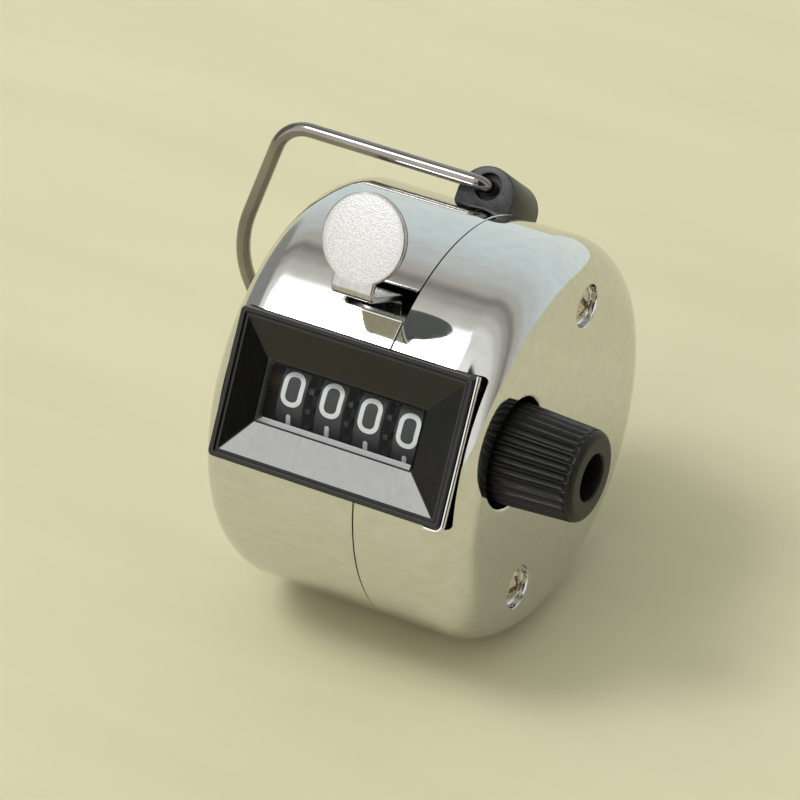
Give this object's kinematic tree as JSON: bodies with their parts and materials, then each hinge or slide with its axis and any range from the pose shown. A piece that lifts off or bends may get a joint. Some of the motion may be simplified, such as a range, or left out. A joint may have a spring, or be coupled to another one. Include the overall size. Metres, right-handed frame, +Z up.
{
  "type": "hand tally counter",
  "caption": "Chrome drum tally counter with framed digit window, thumb lever, fluted reset knob and swinging wire finger ring; pressing the lever advances the number wheels.",
  "frame": {"origin": "centre of the flat left end face, on the drum axis", "axes": "+X along the drum axis from the flat left end towards the reset knob, +Z up as the counter lies on a table, +Y to the back away from the window"},
  "size_m": [0.0548, 0.0487, 0.0562],
  "materials": {
    "chrome": "mirror polished plating",
    "blasted_steel": "white sparkling sandblast, nickel plated",
    "dark_lug": "dark grey satin",
    "black_frame": "moulded black with fine grain",
    "black_knob": "moulded black, satin flutes",
    "clear_window": "clear sheet",
    "wheel_black": "moulded black with white printed digits",
    "screw_steel": "zinc plated",
    "plate_brass": "stamped sheet",
    "gear_brass": "cut teeth",
    "bright_steel": "ground rod",
    "lever_steel": "stamped and barrelled",
    "spring_steel": "drawn wire and strip"
  },
  "bodies": {
    "case": {"left_case": "chrome", "right_case": "chrome", "case_posts": "screw_steel", "case_screws": "screw_steel", "window_bezel": "black_frame", "window_lens": "clear_window", "ring_lug": "dark_lug", "lug_rivet": "screw_steel", "frame_plate_left": "plate_brass", "frame_plate_right": "plate_brass", "frame_pillars": "plate_brass", "wheel_spacer": "plate_brass", "pinion_shaft": "bright_steel", "lever_pivot_pin": "bright_steel", "lever_return_spring": "spring_steel", "detent_spring": "spring_steel"},
    "reset": {"reset_knob": "black_knob", "wheel_shaft": "bright_steel", "shaft_clip": "bright_steel"},
    "thousands": {"wheel_thousands": "wheel_black"},
    "hundreds": {"wheel_hundreds": "wheel_black"},
    "tens": {"wheel_tens": "wheel_black"},
    "units": {"wheel_units": "wheel_black", "ratchet_wheel": "gear_brass"},
    "carry_thousands": {"pinion_thousands": "gear_brass"},
    "carry_hundreds": {"pinion_hundreds": "gear_brass"},
    "carry_tens": {"pinion_tens": "gear_brass"},
    "lever": {"thumb_lever": "blasted_steel", "lever_sleeve": "lever_steel", "drive_arm": "lever_steel", "pawl_pin": "bright_steel"},
    "pawl": {"drive_pawl": "lever_steel"},
    "ring": {"finger_ring": "chrome"}
  },
  "joints": [
    {"name": "thumb_press", "type": "hinge", "parent": "case", "child": "lever", "pos_m": [0.016, -0.00949, 0.01673], "axis": [-1, 0, 0], "range_deg": [0, 14], "stiffness_Nm_per_rad": 0.03, "springref_deg": -17.19},
    {"name": "units_step", "type": "hinge", "parent": "case", "child": "units", "pos_m": [0.02285, -0.00971, 0.00559], "axis": [-1, 0, 0], "range_deg": [0, 36]},
    {"name": "pawl_swing", "type": "hinge", "parent": "lever", "child": "pawl", "pos_m": [0.0259, -0.00124, 0.01158], "axis": [-1, 0, 0], "range_deg": [-14, 0]},
    {"name": "tens_turn", "type": "hinge", "parent": "case", "child": "tens", "pos_m": [0.0182, -0.00971, 0.00559], "axis": [-1, 0, 0], "continuous": true},
    {"name": "hundreds_turn", "type": "hinge", "parent": "case", "child": "hundreds", "pos_m": [0.01355, -0.00971, 0.00559], "axis": [-1, 0, 0], "continuous": true},
    {"name": "thousands_turn", "type": "hinge", "parent": "case", "child": "thousands", "pos_m": [0.0089, -0.00971, 0.00559], "axis": [-1, 0, 0], "continuous": true},
    {"name": "carry_tens_turn", "type": "hinge", "parent": "case", "child": "carry_tens", "pos_m": [0.0205, -0.00687, -0.00284], "axis": [-1, 0, 0], "continuous": true},
    {"name": "carry_hundreds_turn", "type": "hinge", "parent": "case", "child": "carry_hundreds", "pos_m": [0.0159, -0.00687, -0.00284], "axis": [-1, 0, 0], "continuous": true},
    {"name": "carry_thousands_turn", "type": "hinge", "parent": "case", "child": "carry_thousands", "pos_m": [0.0112, -0.00687, -0.00284], "axis": [-1, 0, 0], "continuous": true},
    {"name": "reset_turn", "type": "hinge", "parent": "case", "child": "reset", "pos_m": [0.034, -0.00971, 0.00559], "axis": [-1, 0, 0], "continuous": true},
    {"name": "ring_swing", "type": "hinge", "parent": "case", "child": "ring", "pos_m": [0.016, 0.01673, 0.01769], "axis": [0, 0.7266, -0.6871], "range_deg": [0, 170]}
  ],
  "couplings": [
    {"joint": "units_step", "follows": "thumb_press", "ratio": 2.5714},
    {"joint": "pawl_swing", "follows": "thumb_press", "ratio": -1},
    {"joint": "carry_tens_turn", "follows": "tens_turn", "ratio": -2.5},
    {"joint": "carry_hundreds_turn", "follows": "hundreds_turn", "ratio": -2.5},
    {"joint": "carry_thousands_turn", "follows": "thousands_turn", "ratio": -2.5}
  ]
}
